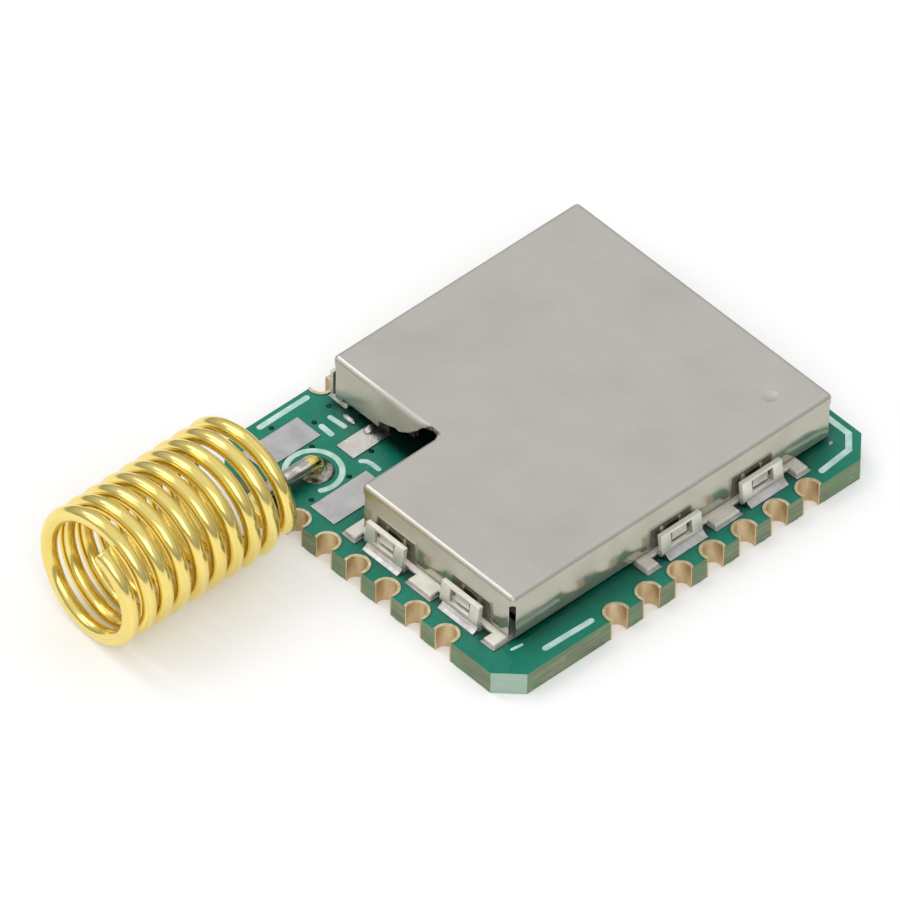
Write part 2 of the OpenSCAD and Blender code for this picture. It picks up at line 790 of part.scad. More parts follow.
module clock_crystal() {
    color([0.78, 0.77, 0.74]) lidded(CRYSTAL_AT, CRYSTAL);
}

module feed_capacitor() {
    color([0.62, 0.5, 0.38]) small_part(FEED_CAP_AT);
}

module inductors() {
    color([0.25, 0.32, 0.42]) for (at = INDUCTORS_AT) small_part(at);
}

module capacitors() {
    color([0.62, 0.5, 0.38]) for (at = CAPACITORS_AT) small_part(at);
}

module resistors() {
    color([0.15, 0.15, 0.16]) for (at = RESISTORS_AT) small_part(at);
}

circuit_board();
front_castellations();
left_castellations();
back_castellations();
coax_ground_pads();
coax_signal_pad();
antenna_via();
antenna_solder();
helical_antenna();
shield_can();
front_clip();
left_clip();
back_clip();
right_clip();
front_clip_land();
left_clip_land();
back_clip_land();
right_clip_land();
component_lands();
radio_chip();
rf_switch();
harmonic_filter();
reference_oscillator();
clock_crystal();
feed_capacitor();
inductors();
capacitors();
resistors();
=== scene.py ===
"""Looks of a castellated radio module.

Materials, board print, solder drops, the can's edge at its notch, spring clips, the coil, light and camera.
"""

import json
import math

import bmesh
import bpy
from mathutils import Matrix, Vector, noise


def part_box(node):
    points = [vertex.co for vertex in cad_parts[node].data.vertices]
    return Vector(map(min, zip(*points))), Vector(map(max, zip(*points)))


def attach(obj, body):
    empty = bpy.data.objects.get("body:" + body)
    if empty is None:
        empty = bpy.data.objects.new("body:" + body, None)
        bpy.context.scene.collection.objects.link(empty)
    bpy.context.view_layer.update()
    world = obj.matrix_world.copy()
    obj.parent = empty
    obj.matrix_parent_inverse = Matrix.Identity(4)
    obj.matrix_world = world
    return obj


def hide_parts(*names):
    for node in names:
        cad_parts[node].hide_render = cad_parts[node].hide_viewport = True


MM = 0.001
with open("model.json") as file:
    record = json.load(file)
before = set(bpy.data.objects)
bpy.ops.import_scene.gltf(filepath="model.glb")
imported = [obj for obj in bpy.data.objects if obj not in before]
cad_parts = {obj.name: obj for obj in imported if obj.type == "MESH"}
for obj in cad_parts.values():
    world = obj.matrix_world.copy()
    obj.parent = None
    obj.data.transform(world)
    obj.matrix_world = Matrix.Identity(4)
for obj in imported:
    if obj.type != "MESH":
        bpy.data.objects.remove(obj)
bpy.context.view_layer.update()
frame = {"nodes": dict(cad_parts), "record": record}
nodes = frame["nodes"]


# Places on the part, in millimetres


def box_mm(node):
    """Low and high corner of a node."""
    return [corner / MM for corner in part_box(node)]


BOARD_TOP = box_mm("circuit_board")[1].z
LAND_TOP = box_mm("coax_signal_pad")[1].z
via_lo, via_hi = box_mm("antenna_via")
VIA = (via_lo + via_hi) / 2
can_lo, can_hi = box_mm("shield_can")
WALL_T = 0.15
NOTCH_L, NOTCH_W = 2.97, 4.485
# Outer faces of the can's walls in its notch, and the lines where its flat top ends there
NOTCH_X, NOTCH_Y = can_lo.x + NOTCH_L, can_hi.y - NOTCH_W
FLAT_X, FLAT_Y = NOTCH_X + WALL_T, NOTCH_Y - WALL_T


# Materials


class Shade:
    """One material's node tree, with short calls for the nodes used here."""

    def __init__(self, name, color, rough, metal=0.0):
        self.mat = bpy.data.materials.new(name)
        self.mat.use_nodes = True
        self.tree = self.mat.node_tree
        self.bsdf = self.tree.nodes["Principled BSDF"]
        self.set("Base Color", color)
        self.set("Roughness", rough)
        self.set("Metallic", metal)
        self.point = self.add("ShaderNodeTexCoord").outputs["Object"]

    def add(self, kind, **settings):
        """New node with its settings."""
        made = self.tree.nodes.new(kind)
        for key, value in settings.items():
            setattr(made, key, value)
        return made

    def feed(self, socket, value):
        """Links an output to a socket, or sets a plain value on it."""
        if isinstance(value, bpy.types.NodeSocket):
            self.tree.links.new(value, socket)
        elif isinstance(value, (tuple, list)) and len(value) == 3 and socket.type == "RGBA":
            socket.default_value = (*value, 1.0)
        else:
            socket.default_value = value

    def set(self, socket, value):
        """Feeds a socket of the surface."""
        self.feed(self.bsdf.inputs[socket], value)

    def calc(self, operation, a, b=0.0, clamp=False):
        made = self.add("ShaderNodeMath", operation=operation, use_clamp=clamp)
        self.feed(made.inputs[0], a)
        self.feed(made.inputs[1], b)
        return made.outputs[0]

    def product(self, first, *others):
        """All the values multiplied."""
        for other in others:
            first = self.calc("MULTIPLY", first, other)
        return first

    def span(self, value, low, high, to_low=0.0, to_high=1.0):
        """Maps low..high to to_low..to_high with a smooth step, clamped."""
        made = self.add("ShaderNodeMapRange", interpolation_type="SMOOTHSTEP")
        self.feed(made.inputs["Value"], value)
        for key, number in (("From Min", low), ("From Max", high), ("To Min", to_low), ("To Max", to_high)):
            made.inputs[key].default_value = number
        return made.outputs["Result"]

    def between(self, value, low, high, blur):
        """1 between two limits, fading to 0 over a blur inside each."""
        return self.product(self.span(value, low, low + blur), self.span(value, high, high - blur))

    def mix(self, amount, a, b):
        """Colour that goes from a to b."""
        made = self.add("ShaderNodeMix", data_type="RGBA")
        self.feed(made.inputs[0], amount)
        self.feed(made.inputs[6], a)
        self.feed(made.inputs[7], b)
        return made.outputs[2]

    def blend(self, amount, a, b):
        """Number that goes from a to b."""
        made = self.add("ShaderNodeMix", data_type="FLOAT")
        self.feed(made.inputs[0], amount)
        self.feed(made.inputs[2], a)
        self.feed(made.inputs[3], b)
        return made.outputs[0]

    def noise(self, size_mm, detail=3.0, stretch=(1, 1, 1), point=None):
        """Noise with features about size_mm across, drawn out along an axis where stretch is above 1."""
        place = self.add("ShaderNodeMapping")
        self.feed(place.inputs["Vector"], point or self.point)
        place.inputs["Scale"].default_value = [1.0 / s for s in stretch]
        made = self.add("ShaderNodeTexNoise")
        self.feed(made.inputs["Vector"], place.outputs["Vector"])
        made.inputs["Scale"].default_value = 1.0 / (size_mm * MM)
        made.inputs["Detail"].default_value = detail
        return made.outputs["Fac"]

    def axes(self):
        """X, Y and Z of the point, in millimetres."""
        made = self.add("ShaderNodeSeparateXYZ")
        self.feed(made.inputs[0], self.point)
        return [self.calc("MULTIPLY", part, 1.0 / MM) for part in made.outputs]

    def normal(self):
        """X, Y and Z of the face's own normal."""
        made = self.add("ShaderNodeSeparateXYZ")
        self.feed(made.inputs[0], self.add("ShaderNodeNewGeometry").outputs["True Normal"])
        return made.outputs

    def tilt(self):
        """Upward part of the face's normal, whichever way it points."""
        return self.calc("ABSOLUTE", self.normal()["Z"])

    def facing_up(self):
        """1 on level faces, 0 on upright ones."""
        return self.span(self.tilt(), 0.45, 0.75)

    def open_sky(self, reach_mm, low, high):
        """1 in the open, 0 in crevices narrower than about the reach."""
        made = self.add("ShaderNodeAmbientOcclusion", samples=8)
        made.inputs["Distance"].default_value = reach_mm * MM
        return self.span(made.outputs["AO"], low, high)

    def bump(self, height, depth_mm, normal=None):
        """Normal of a surface that a height raises by up to a depth."""
        made = self.add("ShaderNodeBump")
        made.inputs["Strength"].default_value = 1.0
        made.inputs["Distance"].default_value = depth_mm * MM
        self.feed(made.inputs["Height"], height)
        if normal is not None:
            self.feed(made.inputs["Normal"], normal)
        return made.outputs["Normal"]

    def soft_edges(self, radius_mm):
        """Normal with the edges rounded off."""
        made = self.add("ShaderNodeBevel", samples=6)
        made.inputs["Radius"].default_value = radius_mm * MM
        return made.outputs["Normal"]


def board_material():
    """Green solder mask on level faces, milled glass laminate on the edges."""
    s = Shade("solder_mask", (0.01, 0.155, 0.09), 0.3)
    level = s.facing_up()
    x, y, z = s.axes()

    cloud = s.span(s.noise(1.6, 4), 0.3, 0.7)
    fleck = s.span(s.noise(0.12, 3), 0.62, 0.8)
    mask = s.mix(cloud, (0.005, 0.185, 0.121), (0.009, 0.23, 0.152))
    mask = s.mix(fleck, mask, (0.013, 0.255, 0.168))

    # Painted shade: the board under the can is painted near black, and this painted dark spreads a little
    # way out into the notch
    margin, blur = 0.035, 0.1
    under_x = s.between(x, can_lo.x + margin, can_hi.x - margin, blur)
    under_y = s.between(y, can_lo.y + margin, can_hi.y - margin, blur)
    in_notch = s.product(s.span(x, FLAT_X - 0.035, FLAT_X - 0.535), s.span(y, NOTCH_Y - 0.06, NOTCH_Y))
    under_can_shade = s.product(under_x, under_y, s.calc("SUBTRACT", 1.0, in_notch))
    mask = s.mix(s.product(under_can_shade, 0.93), mask, (0.001, 0.004, 0.003))
    # Painted shade: the mask is darkened towards near black in crevices, beside the can's walls and other
    # parts
    mask = s.mix(s.open_sky(1.4, 0.38, 0.9), (0.001, 0.02, 0.012), mask)

    layers = s.span(s.noise(0.1, 3, (14, 14, 1)), 0.35, 0.65)
    resin = s.span(s.noise(0.7, 3), 0.35, 0.7, 0.0, 0.75)
    fibre = s.span(s.noise(0.16, 2, (3, 3, 1)), 0.64, 0.78, 0.0, 0.6)
    upper_rim = s.span(z, BOARD_TOP - 0.045, BOARD_TOP - 0.005)
    rim = s.calc("ADD", upper_rim, s.span(z, 0.045, 0.005), clamp=True)
    normal = s.normal()
    slant = s.calc("ABSOLUTE", s.product(normal["X"], normal["Y"]))
    glass = s.mix(layers, (0.15, 0.185, 0.11), (0.25, 0.275, 0.175))
    glass = s.mix(resin, glass, (0.13, 0.27, 0.12))
    glass = s.mix(fibre, glass, (0.4, 0.42, 0.3))
    glass = s.mix(s.product(rim, 0.75), glass, (0.03, 0.2, 0.1))
    # Painted highlight: the slanted chamfer faces are painted paler, for the light they catch
    glass = s.mix(s.span(slant, 0.4, 0.48, 0.0, 0.85), glass, (0.42, 0.57, 0.48))

    s.set("Base Color", s.mix(level, glass, mask))
    s.set("Specular IOR Level", s.blend(level, 0.5, 0.28))
    s.set("Roughness", s.blend(level, 0.62, s.span(s.noise(0.5, 4), 0.2, 0.8, 0.2, 0.36)))
    milled = s.bump(s.noise(0.05, 4, (4, 4, 1)), 0.02, s.soft_edges(0.02))
    s.set("Normal", s.bump(s.noise(0.25, 4), 0.006, milled))
    return s.mat


def plating_material():
    """Matt gold in the half-holes, paler on the rims."""
    s = Shade("gold_plating", (0.66, 0.51, 0.29), 0.42, 0.85)
    barrel_tone = s.span(s.noise(0.35, 4, (1, 1, 3)), 0.3, 0.7)
    barrel = s.mix(barrel_tone, (0.55, 0.41, 0.22), (0.72, 0.57, 0.35))
    rim = s.mix(s.span(s.noise(0.2, 4), 0.35, 0.7), (0.6, 0.5, 0.3), (0.78, 0.71, 0.52))
    s.set("Base Color", s.mix(s.facing_up(), barrel, rim))
    s.set("Roughness", s.span(s.noise(0.15, 3), 0.2, 0.8, 0.34, 0.52))
    s.set("Normal", s.bump(s.noise(0.09, 4, (1, 1, 3)), 0.012, s.soft_edges(0.015)))
    return s.mat


def metal_material(name, dark, light, rough, grain_mm, depth_mm, edge_mm=0.03, metal=1.0):
    """Bare or tinned metal: two tones, uneven gloss, a fine surface and soft edges."""
    s = Shade(name, light, sum(rough) / 2, metal)
    s.set("Base Color", s.mix(s.span(s.noise(grain_mm * 2.5, 4), 0.3, 0.7), dark, light))
    s.set("Roughness", s.span(s.noise(grain_mm, 4), 0.25, 0.75, *rough))
    s.set("Normal", s.bump(s.noise(grain_mm, 3), depth_mm, s.soft_edges(edge_mm)))
    return s.mat


def plain_material(name, dark, light, rough, grain_mm=0.1, depth_mm=0.006):
    """Moulded, fired or printed matter: two tones, uneven gloss and a fine surface."""
    return metal_material(name, dark, light, rough, grain_mm, depth_mm, edge_mm=0.02, metal=0.0)


def can_material():
    """Rolled sheet: satin top with faint smudges, and tinned walls that mirror what is around them."""
    s = Shade("can_metal", (0.5, 0.485, 0.455), 0.3, 1.0)
    level = s.facing_up()
    fold = s.product(s.span(s.tilt(), 0.1, 0.35), s.span(s.tilt(), 0.99, 0.85))
    x, y, z = s.axes()
    notch = s.product(s.span(x, FLAT_X + 0.065, NOTCH_X + 0.065), s.span(y, NOTCH_Y - 0.1, NOTCH_Y + 0.1))

    smudge = s.span(s.noise(2.6, 5), 0.42, 0.72)
    grain = s.noise(0.05, 3, (30, 1, 1))
    top = s.mix(smudge, (0.6, 0.576, 0.53), (0.555, 0.531, 0.477))
    top = s.mix(s.span(grain, 0.3, 0.75, 0.0, 0.35), top, (0.54, 0.525, 0.5))
    wall = s.mix(s.span(s.noise(1.1, 4), 0.35, 0.7), (0.435, 0.425, 0.35), (0.485, 0.475, 0.395))
    # Painted shade: the walls are darkened to brown in crevices, next to the clips and along their foot
    wall = s.mix(s.open_sky(0.25, 0.35, 0.85), (0.11, 0.085, 0.045), wall)
    # Painted shade: the fold between the top and the walls is painted a little darker, toning down its
    # highlight
    tone = s.mix(s.product(fold, 0.3), s.mix(level, wall, top), (0.4, 0.39, 0.345))

    # Painted shade on the wall's end beside the feed: near black below a line that rises towards the
    # relief, standing in for the dark opening under the wall
    slope, line, waver = 0.97, 4.16, 0.16
    rise = s.calc("ADD", z, s.product(y, slope))
    rise = s.calc("ADD", rise, s.product(s.noise(0.2, 2), waver))
    gap_shade = s.product(s.span(rise, line + 0.1, line), notch, s.span(y, 2.62, 2.5))
    s.set("Base Color", s.mix(gap_shade, tone, (0.012, 0.01, 0.008)))

    satin = s.span(s.noise(0.9, 5), 0.25, 0.75, 0.27, 0.36)
    sheen = s.blend(level, s.span(s.noise(0.7, 3), 0.3, 0.7, 0.11, 0.17), satin)
    dull = s.product(notch, s.span(y, 4.6, 2.2))
    s.set("Roughness", s.blend(dull, s.blend(fold, sheen, 0.42), 0.6))
    s.set("Metallic", s.blend(dull, s.blend(level, 0.8, 1.0), 0.4))

    # The walls bow out a little towards their foot, which tips their mirror image upwards
    tip = s.add("ShaderNodeCombineXYZ")
    s.feed(tip.inputs["Z"], s.blend(level, s.blend(notch, 0.176, 0.34), 0.0))
    lean = s.add("ShaderNodeVectorMath", operation="ADD")
    s.feed(lean.inputs[0], s.soft_edges(0.03))
    s.feed(lean.inputs[1], tip.outputs[0])
    unit = s.add("ShaderNodeVectorMath", operation="NORMALIZE")
    s.feed(unit.inputs[0], lean.outputs[0])
    waves = s.bump(s.noise(1.3, 2), 0.02, unit.outputs[0])
    s.set("Normal", s.bump(grain, 0.0012, waves))
    return s.mat


def clip_material():
    """Tinned spring steel, with painted shade darkening its corners and crevices."""
    s = Shade("clip_metal", (0.7, 0.68, 0.63), 0.36, 0.65)
    tone = s.mix(s.span(s.noise(0.75, 4), 0.3, 0.7), (0.74, 0.72, 0.66), (0.86, 0.84, 0.78))
    # Painted shade: the colour goes near black in the clip's gaps, window and the space behind its frames
    s.set("Base Color", s.mix(s.open_sky(0.25, 0.2, 0.65), (0.08, 0.065, 0.04), tone))
    s.set("Roughness", s.span(s.noise(0.3, 4), 0.25, 0.75, 0.3, 0.42))
    s.set("Normal", s.bump(s.noise(0.3, 3), 0.006, s.soft_edges(0.025)))
    return s.mat


def wire_material():
    """Drawn gold-coloured wire, with tin on the lead beside the joint."""
    s = Shade("gold_wire", (0.9, 0.7, 0.2), 0.18, 1.0)
    # The UVs run in millimetres along the wire, so one unit of this noise is a millimetre
    along = s.add("ShaderNodeTexCoord").outputs["UV"]
    streak = s.noise(1.0 / MM, 3, (12, 0.04, 1), along)
    gold = s.mix(s.span(streak, 0.3, 0.7), (0.86, 0.67, 0.19), (0.93, 0.77, 0.28))
    gold = s.mix(s.span(s.noise(0.8, 4), 0.55, 0.8, 0.0, 0.5), gold, (0.81, 0.6, 0.15))
    ragged_x = s.calc("ADD", s.axes()[0], s.product(s.noise(0.25, 2), 0.5))
    tinned = s.product(s.span(ragged_x, VIA.x - 2.15, VIA.x - 1.8), s.span(ragged_x, VIA.x, VIA.x - 0.2))
    tin_tone = s.span(s.noise(0.16, 3, (2.5, 1, 1)), 0.42, 0.62)
    tin = s.mix(tin_tone, (0.46, 0.44, 0.39), (0.84, 0.82, 0.77))
    s.set("Base Color", s.mix(tinned, gold, tin))
    s.set("Roughness", s.span(streak, 0.3, 0.7, 0.13, 0.2))
    s.set("Normal", s.bump(streak, 0.004))
    return s.mat


# Dark and light tone, roughness, and the size and depth of the grain in millimetres
METALS = {
    "tinned_pads": ((0.49, 0.485, 0.485), (0.6, 0.595, 0.59), (0.24, 0.38), 0.3, 0.014),
    "solder": ((0.42, 0.415, 0.41), (0.58, 0.575, 0.57), (0.38, 0.52), 0.14, 0.016),
    "lid_metal": ((0.52, 0.47, 0.35), (0.64, 0.59, 0.46), (0.24, 0.36), 0.2, 0.006),
}
PLAIN = {
    "chip_plastic": ((0.01, 0.01, 0.012), (0.022, 0.022, 0.024), (0.5, 0.65), 0.06),
    "ceramic_part": ((0.6, 0.56, 0.46), (0.72, 0.68, 0.58), (0.45, 0.6)),
    "capacitor_ceramic": ((0.29, 0.18, 0.1), (0.38, 0.25, 0.14), (0.35, 0.5)),
    "inductor_body": ((0.035, 0.07, 0.13), (0.06, 0.1, 0.18), (0.35, 0.5)),
    "resistor_body": ((0.016, 0.016, 0.018), (0.028, 0.028, 0.03), (0.3, 0.45)),
}
mats = {
    "solder_mask": board_material(),
    "gold_plating": plating_material(),
    "gold_wire": wire_material(),
    "can_metal": can_material(),
    "clip_metal": clip_material(),
}
for name, looks in METALS.items():
    mats[name] = metal_material(name, *looks)
for name, looks in PLAIN.items():
    mats[name] = plain_material(name, *looks)
ink = plain_material("board_ink", (0.4, 0.66, 0.58), (0.62, 0.82, 0.76), (0.4, 0.6), 0.12, 0.008)
pit = plain_material("tented_via", (0.002, 0.02, 0.012), (0.006, 0.06, 0.036), (0.2, 0.4), 0.05)

for entry in frame["record"]["subparts"]:
    target = nodes[entry["node"]]
    target.data.materials.clear()
    target.data.materials.append(mats[entry["material_slot"]])

# The antenna's joint holds dark flux, and the part behind the arch is painted near black, painted shade for
# the dark it lies in
joint = metal_material("fluxed_solder", (0.06, 0.045, 0.025), (0.62, 0.6, 0.56), (0.22, 0.45), 0.13, 0.02)
nodes["antenna_solder"].data.materials[0] = joint
shaded = plain_material("shaded_ceramic", (0.012, 0.009, 0.006), (0.024, 0.017, 0.011), (0.35, 0.5))
nodes["feed_capacitor"].data.materials[0] = shaded


# Shapes, in millimetres


def add_mesh(name, bm, mat, smooth=True):
    """Turns a bmesh in millimetres into a piece that rides on the part."""
    bmesh.ops.recalc_face_normals(bm, faces=bm.faces)
    bmesh.ops.scale(bm, vec=(MM, MM, MM), verts=bm.verts)
    mesh = bpy.data.meshes.new(name)
    bm.to_mesh(mesh)
    bm.free()
    mesh.materials.append(mat)
    for face in mesh.polygons:
        face.use_smooth = smooth
    made = bpy.data.objects.new(name, mesh)
    bpy.context.scene.collection.objects.link(made)
    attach(made, "root")
    return made


def arc(centre, radius, start, end, count):
    """Points on an arc, angles in degrees."""
    steps = [math.radians(start + (end - start) * i / count) for i in range(count + 1)]
    return [Vector((centre[0] + radius * math.cos(a), centre[1] + radius * math.sin(a))) for a in steps]


def ribbon(points, width):
    """Outline of a line of the given width with round ends."""
    points = [Vector(p) for p in points]
    left, right = [], []
    for i, p in enumerate(points):
        before = (p - points[i - 1]).normalized() if i else None
        after = (points[i + 1] - p).normalized() if i + 1 < len(points) else None
        way = ((before or after) + (after or before)).normalized()
        square = Vector((-way.y, way.x))
        reach = width / 2 / max(0.5, way.dot(after or before))
        left.append(p + square * reach)
        right.append(p - square * reach)
    first, last = points[1] - points[0], points[-1] - points[-2]
    tail = math.degrees(math.atan2(first.y, first.x))
    head = math.degrees(math.atan2(last.y, last.x))
    end = arc(points[-1], width / 2, head + 90, head - 90, 8)
    start = arc(points[0], width / 2, tail - 90, tail - 270, 8)
    return left[1:-1] + end + right[-2:0:-1] + start


def slab(bm, outline, low, high, edge=0.006):
    """Flat plate on an outline, with its upper edge rounded off."""
    base = [bm.verts.new((p[0], p[1], low)) for p in outline]
    face = bm.faces.new(base)
    raised = bmesh.ops.extrude_face_region(bm, geom=[face])["geom"]
    top = [v for v in raised if isinstance(v, bmesh.types.BMVert)]
    for v in top:
        v.co.z = high
    rim = [e for e in bm.edges if e.verts[0] in top and e.verts[1] in top]
    bmesh.ops.bevel(bm, geom=rim, offset=edge, segments=2, affect="EDGES", clamp_overlap=True)


def loft(bm, rows):
    """Closed skin through rows of points, with flat ends."""
    rings = [[bm.verts.new(p) for p in row] for row in rows]
    for low, high in zip(rings, rings[1:]):
        for j in range(len(low)):
            bm.faces.new((low[j], low[j - 1], high[j - 1], high[j]))
    bm.faces.new(rings[0])
    bm.faces.new(rings[-1])


def dome(bm, at, radii, height, seed, turn=0.0):
    """Frozen drop of solder on a level face, a little uneven."""
    rings, around, unevenness = 7, 20, 0.12
    base = Vector((seed * 7.3, seed * 3.1, 0.0))
    c, s = math.cos(math.radians(turn)), math.sin(math.radians(turn))
    x, y, z = at
    levels = []
    for i in range(rings):
        a = math.pi / 2 * i / rings
        row = []
        for j in range(around):
            t = 2 * math.pi * j / around
            way = Vector((math.cos(t), math.sin(t), math.sin(a)))
            k = 1 + unevenness * noise.noise(way * 1.3 + base)
            px = radii[0] * math.cos(a) * math.cos(t) * k
            py = radii[1] * math.cos(a) * math.sin(t) * k
            rise = height * math.sin(a) * k
            row.append(bm.verts.new((x + c * px - s * py, y + s * px + c * py, z + rise)))
        levels.append(row)
    for low, high in zip(levels, levels[1:]):
        for j in range(around):
            bm.faces.new((low[j], low[j - 1], high[j - 1], high[j]))
    crown = bm.verts.new((x, y, z + height))
    for j in range(around):
        bm.faces.new((levels[-1][j], levels[-1][j - 1], crown))
    bm.faces.new(levels[0])


# Print, tented vias and solder drops on the board


INK_T, PIT_T, PIT_R = 0.014, 0.006, 0.085
RING_AT, RING_R = (VIA.x - 0.05, VIA.y + 0.04), 0.84
PITS = [(-3.4, 5.52), (-4.18, 5.3), (-5.26, 5.96), (-4.9, 4.6), (-4.94, 2.96), (-6.4, 2.98), (-3.75, 3.3)]


def ink_piece(name, lines):
    """Printed lines on the board, each a list of points and a width."""
    bm = bmesh.new()
    for points, width in lines:
        slab(bm, ribbon(points, width), BOARD_TOP, BOARD_TOP + INK_T)
    add_mesh(name, bm, ink, smooth=False)


ink_piece("print_back_bar", [([(-5.5, 6.2), (-3.65, 6.2)], 0.2)])
ink_piece("print_front_bar", [([(-5.5, -6.02), (-3.75, -6.08)], 0.2)])
ink_piece("print_corner_band", [([(7.06, -4.4), (7.06, -5.46), (6.6, -5.95), (5.42, -6.06)], 0.21)])
ink_piece("print_feed_ring", [(arc(RING_AT, RING_R, 158, -118, 44), 0.19)])
ink_piece(
    "print_dashes",
    [
        ([(-3.69, 5.14), (-3.64, 4.58)], 0.18),
        ([(-4.13, 5.03), (-4.14, 4.6)], 0.2),
        ([(-4.25, 3.19), (-4.14, 3.08), (-4.1, 2.92), (-4.1, 2.6)], 0.17),
        ([(-6.25, -5.41), (-5.9, -5.46)], 0.1),
    ],
)

bm = bmesh.new()
for centre in PITS:
    slab(bm, arc(centre, PIT_R, 0, 342, 19), BOARD_TOP, BOARD_TOP + PIT_T, edge=0.003)
add_mesh("tented_vias", bm, pit)

bm = bmesh.new()
dome(bm, (-3.22, 3.98, LAND_TOP), (0.2, 0.14), height=0.13, seed=1, turn=20)
dome(bm, (-3.34, 4.7, BOARD_TOP), (0.11, 0.27), height=0.1, seed=2)
dome(bm, (6.4, -5.38, BOARD_TOP), (0.1, 0.08), height=0.03, seed=3)
add_mesh("solder_drops", bm, mats["solder"])


# Edge of the can at the notch


BEND_Z = can_hi.z - WALL_T
# These shapes run on into the can's sheet, a hair below its surface
BURIED, SUNK = 0.05, 0.0005
RELIEF_R, RELIEF_Y = 0.42, FLAT_Y + 0.47
# Place along Y, reach from the flat top and lower edge of the fold where it runs out into the relief
FOLD_END = [
    (2.2, 0.149, 2.0), (2.12, 0.149, 2.06), (2.02, 0.146, 2.16), (1.92, 0.132, 2.3),
    (1.82, 0.104, 2.38), (1.72, 0.07, 2.39), (1.62, 0.036, 2.39), (1.55, 0.01, 2.39),
]
# Y and Z of the lip that narrows the arch over the feed line
LIP = [
    (3.72, 1.28), (3.58, 1.37), (3.4, 1.41), (3.15, 1.5), (2.96, 1.57), (2.84, 1.53), (2.66, 1.62),
    (2.5, 1.73), (2.46, 1.78), (3.72, 1.78),
]
LIP_INSET = 0.003


def fold_section(y, reach, foot):
    """Section of the fold at a place along the wall: inner face, foot and rounded bend."""
    section = [(FLAT_X + BURIED, y, can_hi.z - SUNK), (FLAT_X + BURIED, y, foot), (FLAT_X - reach, y, foot)]
    for k in range(7):
        a = math.radians(15 * k)
        section.append((FLAT_X - reach * math.cos(a), y, BEND_Z + (WALL_T - SUNK) * math.sin(a)))
    return section


def notch_edge():
    """Round ends of the relief at the notch's inner corner, and the uneven lip over the feed line."""
    bm = bmesh.new()
    corner = arc((FLAT_X - RELIEF_R, RELIEF_Y), RELIEF_R, 0, -72, 14)
    corner += [(FLAT_X - 0.25, FLAT_Y), (FLAT_X + BURIED, FLAT_Y - BURIED)]
    corner += [(FLAT_X + BURIED, RELIEF_Y + 0.03)]
    slab(bm, corner, BEND_Z, can_hi.z - SUNK, edge=0.002)
    loft(bm, [fold_section(*station) for station in FOLD_END])
    depths = (WALL_T - LIP_INSET, LIP_INSET)
    loft(bm, [[(FLAT_X - depth, y, z) for y, z in LIP] for depth in depths])
    add_mesh("can_notch_edge", bm, mats["can_metal"], smooth=False)


notch_edge()


# Spring clips, drawn with flat frames and tongues in place of the plain loops


# Thickness of a clip, its reach out from the can's wall and in under the can, and the gaps between its tabs
CLIP_T, CLIP_REACH, CLIP_INSIDE, SPINE = 0.12, 0.52, 0.6, 0.2
MID_TAB_HALF, END_TAB = 0.48, 0.45
# A frame leans from its foot to its top
FOOT_OFF, TOP_OFF, FRAME_H, FRAME_T, BEND = 0.4, 0.31, 0.81, 0.15, 0.16
FRAME_L, INNER_FRAME_L, FRAME_AT = 1.6, 1.5, 1.61
SILL, BAND, WINDOW_HALF, TONGUE_HALF = 0.27, 0.08, 0.42, 0.29
# Height and set-back of the tongue's face, from the band down to its tip
TONGUE = [(FRAME_H - BAND / 2, 0.004), (FRAME_H - BAND, 0.004), (FRAME_H - 0.16, 0.09), (0.33, 0.13)]
TONGUE_T = CLIP_T - 0.008


def sheet(bm, place, cuts, section, holes=()):
    """Bent strip: pairs of outer and inner points of its section, cut across, with some cells left out."""
    made = {}

    def vert(i, j, side):
        if (i, j, side) not in made:
            made[i, j, side] = bm.verts.new(place(cuts[i], *section[j][side]))
        return made[i, j, side]

    cells = {(i, j) for i in range(len(cuts) - 1) for j in range(len(section) - 1)} - set(holes)
    for i, j in cells:
        for side in (0, 1):
            corners = ((i, j), (i + 1, j), (i + 1, j + 1), (i, j + 1))
            bm.faces.new([vert(a, b, side) for a, b in corners])
        rims = (
            ((i - 1, j), (i, j), (i, j + 1)),
            ((i + 1, j), (i + 1, j), (i + 1, j + 1)),
            ((i, j - 1), (i, j), (i + 1, j)),
            ((i, j + 1), (i, j + 1), (i + 1, j + 1)),
        )
        for beside, a, b in rims:
            if beside not in cells:
                bm.faces.new([vert(*a, 0), vert(*b, 0), vert(*b, 1), vert(*a, 1)])


def frame_face(w):
    """Distance of a leaning frame's outer face from the can's wall at a height."""
    return FOOT_OFF + (TOP_OFF - FOOT_OFF) * max(0.0, w - BEND) / (FRAME_H - BEND)


def spring_frame(bm, place, middle, length):
    """Upright frame with a window, and the tongue that hangs from its band, set back towards the can."""
    section = [((SPINE, 0.0), (SPINE, CLIP_T))]
    centre = (FOOT_OFF - BEND, BEND)
    section += zip(arc(centre, BEND, -90, 0, 5), arc(centre, BEND - CLIP_T, -90, 0, 5))
    window = len(section)
    for w in (SILL, FRAME_H - BAND, FRAME_H):
        section.append(((frame_face(w), w), (frame_face(w) - FRAME_T, w)))
    cuts = [middle + u for u in (-length / 2, -WINDOW_HALF, WINDOW_HALF, length / 2)]
    sheet(bm, place, cuts, section, {(1, window)})
    tongue = []
    for w, back in TONGUE:
        face = frame_face(w) - back
        tongue.append(((face, w), (face - TONGUE_T, w)))
    sheet(bm, place, [middle - TONGUE_HALF, middle + TONGUE_HALF], tongue)


